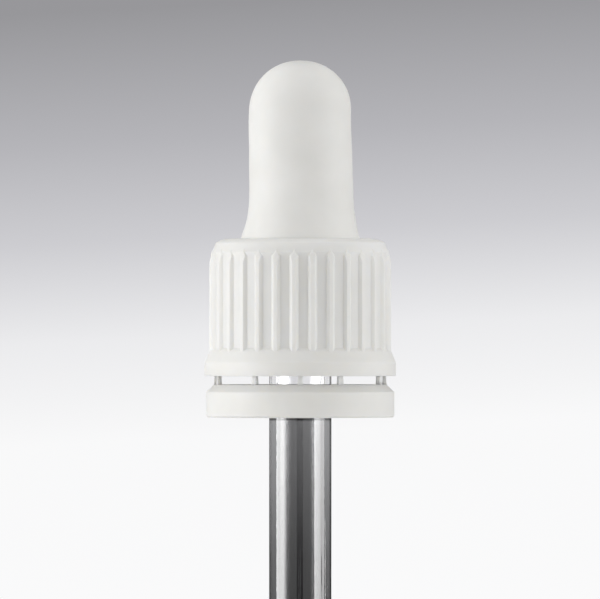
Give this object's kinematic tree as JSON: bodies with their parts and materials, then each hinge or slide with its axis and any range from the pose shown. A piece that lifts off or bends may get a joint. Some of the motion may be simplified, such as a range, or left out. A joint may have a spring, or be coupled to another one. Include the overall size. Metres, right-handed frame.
{
  "type": "dropper closure",
  "caption": "Screw-on dropper closure: soft squeeze teat and glass pipette in a ribbed screw cap with a break-off tamper band, for a small bottle's neck.",
  "frame": {"origin": "centre of the sealing plane: the underside of the teat's flange, which lies on the rim of the bottle's neck", "axes": "+Z along the closure's axis, from the pipette's tip to the dome of the teat; the front of the picture faces -Y"},
  "size_m": [0.0214, 0.0214, 0.0916],
  "materials": {
    "teat_rubber": "satin white rubber",
    "cap_plastic": "satin white polypropylene",
    "pipette_glass": "smoke-grey glass, fire-polished ends"
  },
  "bodies": {
    "cap": {"screw_cap": "cap_plastic"},
    "dropper": {"pipette": "pipette_glass"},
    "teat": {"teat": "teat_rubber"},
    "tamper_band": {"tamper_ring": "cap_plastic", "tamper_bridges": "cap_plastic"}
  },
  "joints": [
    {"name": "cap_turn", "type": "hinge", "parent": "cap", "child": "dropper", "pos_m": [0, 0, 0], "axis": [0, 0, 1], "continuous": true},
    {"name": "teat_press", "type": "slide", "parent": "dropper", "child": "teat", "axis": [0, 0, -1], "range_m": [0, 0.007], "stiffness_N_per_m": 800, "deforming": ["teat"]},
    {"name": "band_release", "type": "slide", "parent": "cap", "child": "tamper_band", "axis": [0, 0, -1], "range_m": [0, 0.06]}
  ]
}
